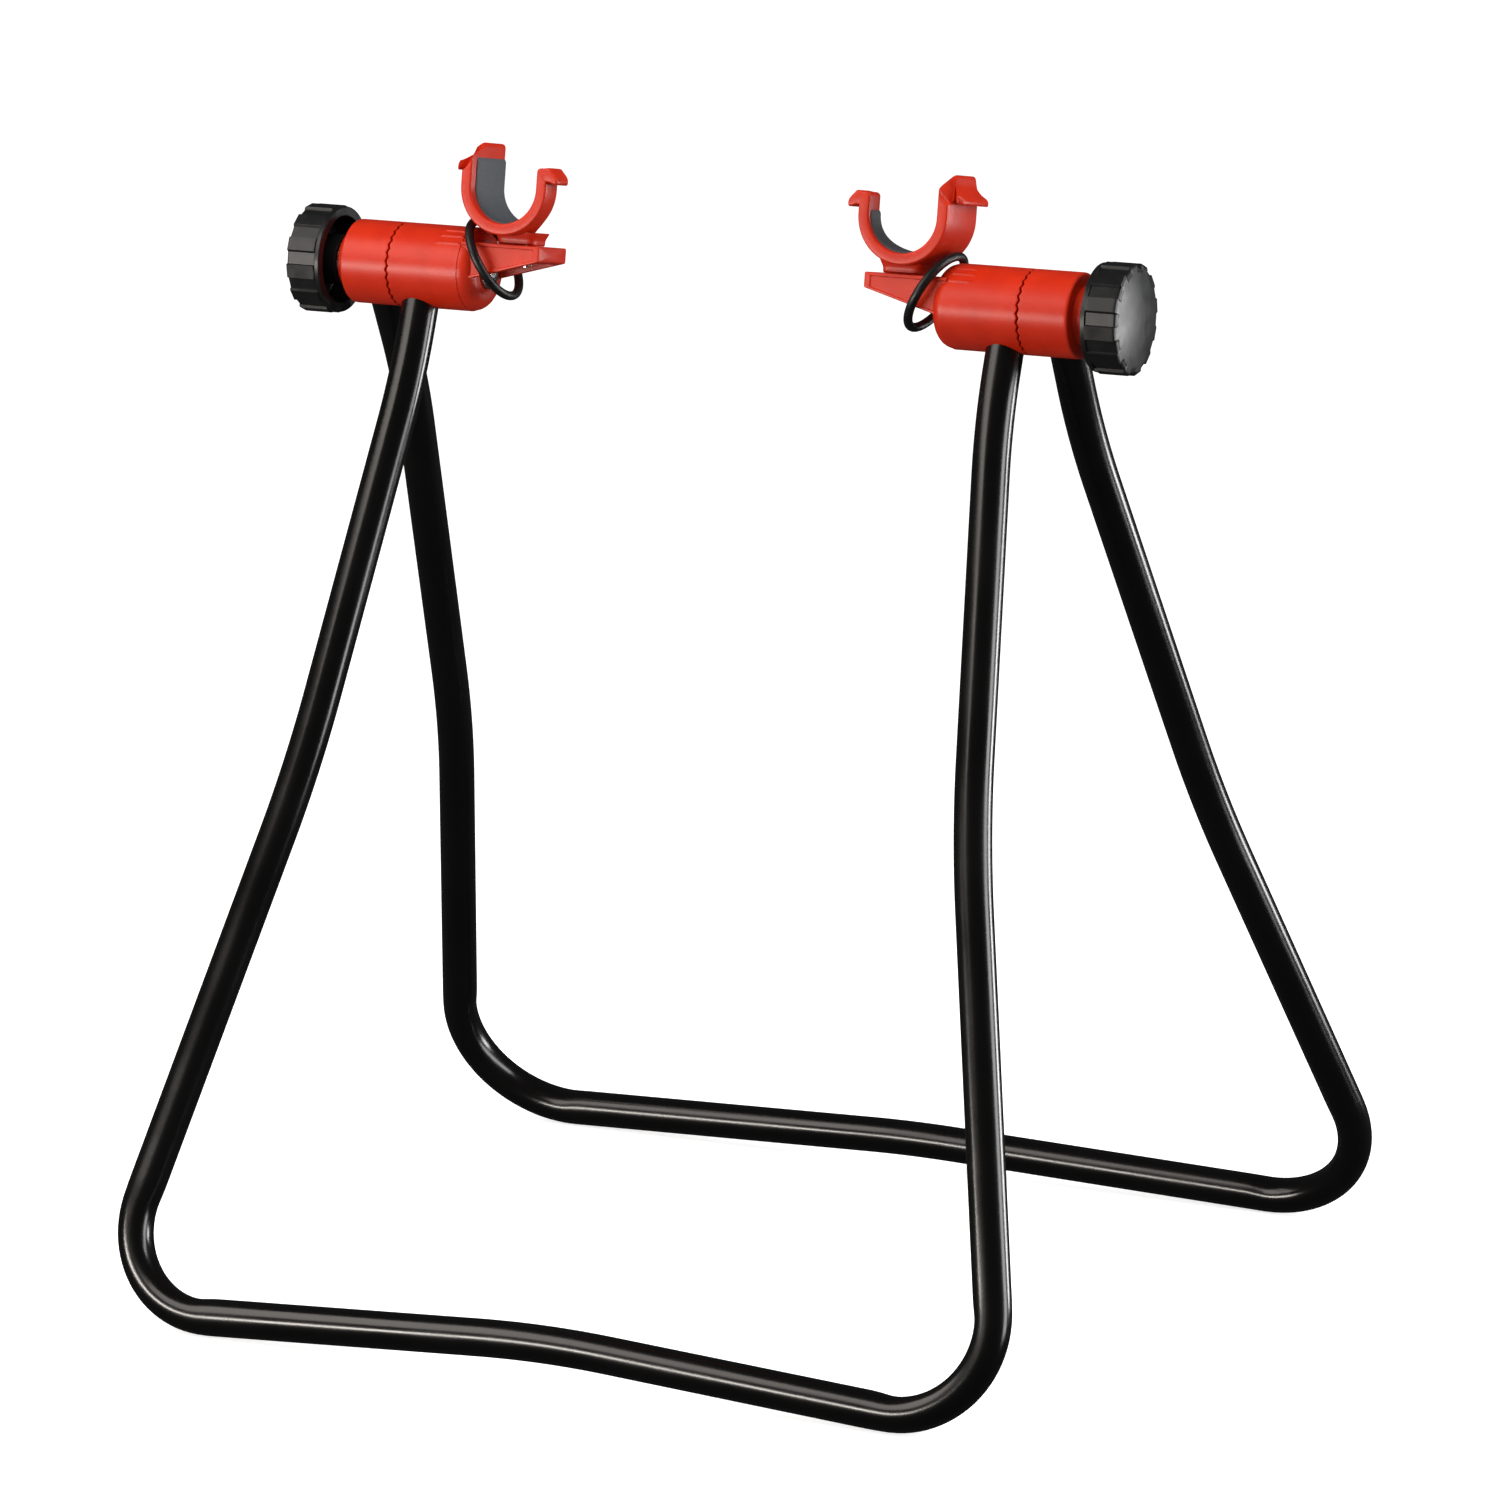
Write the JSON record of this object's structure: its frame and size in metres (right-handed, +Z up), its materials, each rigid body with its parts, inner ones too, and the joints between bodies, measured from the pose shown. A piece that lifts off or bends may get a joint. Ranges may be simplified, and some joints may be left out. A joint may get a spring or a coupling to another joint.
{
  "type": "bike repair stand",
  "caption": "Folding floor stand for a bicycle: two bent tube frames hinged on one cross axis, with hand knobs and two padded U-shaped cradles that hold the frame beside the back wheel.",
  "frame": {"origin": "on the floor, under the middle of the stand: midway between the feet of the two frames and between the two heads", "axes": "+X along the hinge axis towards the right-hand knob, +Y towards the back frame, +Z up"},
  "size_m": [0.401, 0.3436, 0.4286],
  "materials": {
    "tube_paint": "gloss black powder coat on steel tube",
    "clamp_plastic": "satin moulded red glass-filled nylon",
    "knob_plastic": "satin moulded black plastic",
    "pad_rubber": "matt grey rubber",
    "ring_rubber": "matt black rubber",
    "zinc_steel": "bright zinc-plated steel"
  },
  "bodies": {
    "back": {"back_frame": "tube_paint", "right_outer_clamp": "clamp_plastic", "left_outer_clamp": "clamp_plastic"},
    "front": {"front_frame": "tube_paint", "right_inner_clamp": "clamp_plastic", "right_clamp_bolt": "zinc_steel", "right_strap_ring": "ring_rubber", "left_inner_clamp": "clamp_plastic", "left_clamp_bolt": "zinc_steel", "left_strap_ring": "ring_rubber"},
    "right_washer": {"right_bolt_washer": "zinc_steel"},
    "right_knob": {"right_knob": "knob_plastic", "right_knob_nut": "zinc_steel"},
    "right_cradle": {"right_cradle": "clamp_plastic", "right_cradle_pad": "pad_rubber", "right_cradle_screw": "zinc_steel", "right_cradle_washer": "zinc_steel", "right_cradle_nut": "zinc_steel"},
    "left_washer": {"left_bolt_washer": "zinc_steel"},
    "left_knob": {"left_knob": "knob_plastic", "left_knob_nut": "zinc_steel"},
    "left_cradle": {"left_cradle": "clamp_plastic", "left_cradle_pad": "pad_rubber", "left_cradle_screw": "zinc_steel", "left_cradle_washer": "zinc_steel", "left_cradle_nut": "zinc_steel"}
  },
  "joints": [
    {"name": "fold", "type": "hinge", "parent": "back", "child": "front", "pos_m": [0, -0.01909, 0.3807], "axis": [1, 0, 0], "range_deg": [0, 47.5]},
    {"name": "right_knob_travel", "type": "slide", "parent": "front", "child": "right_washer", "axis": [1, 0, 0], "range_m": [0, 0.002]},
    {"name": "right_knob_turn", "type": "hinge", "parent": "right_washer", "child": "right_knob", "pos_m": [0, -0.01909, 0.3807], "axis": [1, 0, 0], "range_deg": [0, 720]},
    {"name": "right_cradle_swivel", "type": "hinge", "parent": "front", "child": "right_cradle", "pos_m": [0.0788, -0.02254, 0.38128], "axis": [0, 0.165, 0.9863], "range_deg": [-12, 12]},
    {"name": "left_knob_travel", "type": "slide", "parent": "front", "child": "left_washer", "axis": [-1, 0, 0], "range_m": [0, 0.002]},
    {"name": "left_knob_turn", "type": "hinge", "parent": "left_washer", "child": "left_knob", "pos_m": [0, -0.01909, 0.3807], "axis": [-1, 0, 0], "range_deg": [0, 720]},
    {"name": "left_cradle_swivel", "type": "hinge", "parent": "front", "child": "left_cradle", "pos_m": [-0.0788, -0.02254, 0.38128], "axis": [0, 0.165, 0.9863], "range_deg": [-12, 12]}
  ],
  "couplings": [
    {"joint": "right_knob_travel", "follows": "right_knob_turn", "m_per_rad": 0.00015915},
    {"joint": "left_knob_travel", "follows": "left_knob_turn", "m_per_rad": 0.00015915}
  ]
}
